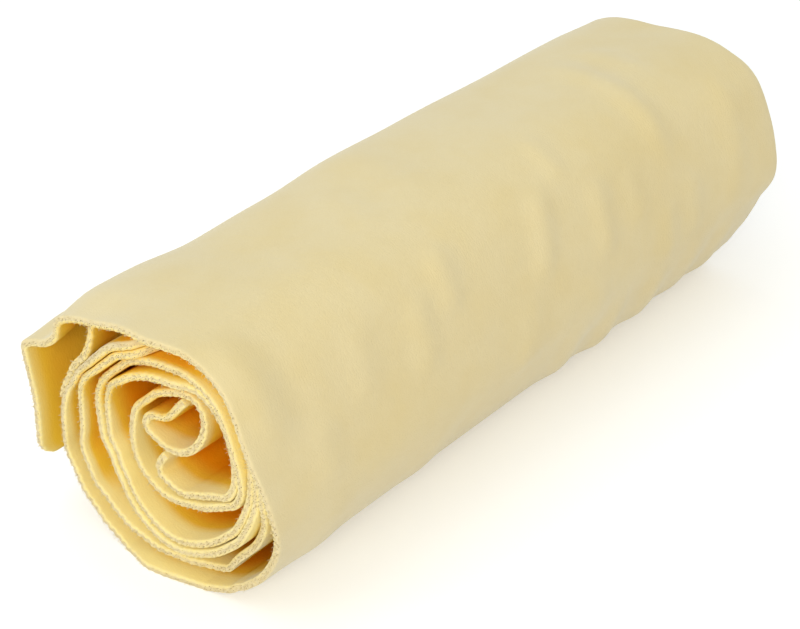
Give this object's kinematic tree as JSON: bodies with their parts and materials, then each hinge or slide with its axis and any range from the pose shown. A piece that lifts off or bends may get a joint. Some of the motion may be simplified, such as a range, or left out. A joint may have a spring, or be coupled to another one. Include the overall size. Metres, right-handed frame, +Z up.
{
  "type": "synthetic chamois cloth",
  "caption": "Soft pale yellow cloth for wiping and drying, folded lengthwise and rolled up, lying on its side with its free end hanging.",
  "frame": {"origin": "middle of the rest face under the roll, on the surface that it lies on", "axes": "+Y along the roll from its cut edges at the front to its fold at the back, +Z up, the free end at -X"},
  "size_m": [0.0859, 0.217, 0.0789],
  "materials": {
    "chamois": "soft matte nap"
  },
  "bodies": {
    "roll": {"outer_leaf_core_curl": "chamois", "inner_leaf_third_turn": "chamois", "outer_leaf_third_turn": "chamois", "fold_third_turn": "chamois", "inner_leaf_second_turn": "chamois", "outer_leaf_second_turn": "chamois", "fold_second_turn": "chamois", "inner_leaf_first_turn": "chamois", "outer_leaf_first_turn": "chamois", "fold_first_turn": "chamois"},
    "top_lap": {"inner_leaf_top_lap": "chamois", "outer_leaf_top_lap": "chamois", "fold_top_lap": "chamois"},
    "tail_flap": {"inner_leaf_tail_flap": "chamois", "outer_leaf_tail_flap": "chamois", "fold_tail_flap": "chamois"}
  },
  "joints": [
    {"name": "lap_lift", "type": "hinge", "parent": "roll", "child": "top_lap", "pos_m": [0.00481, 0, 0.07846], "axis": [0, 1, 0], "range_deg": [0, 75]},
    {"name": "tail_swing", "type": "hinge", "parent": "top_lap", "child": "tail_flap", "pos_m": [-0.03092, 0, 0.06354], "axis": [0, 1, 0], "range_deg": [0, 90]}
  ]
}
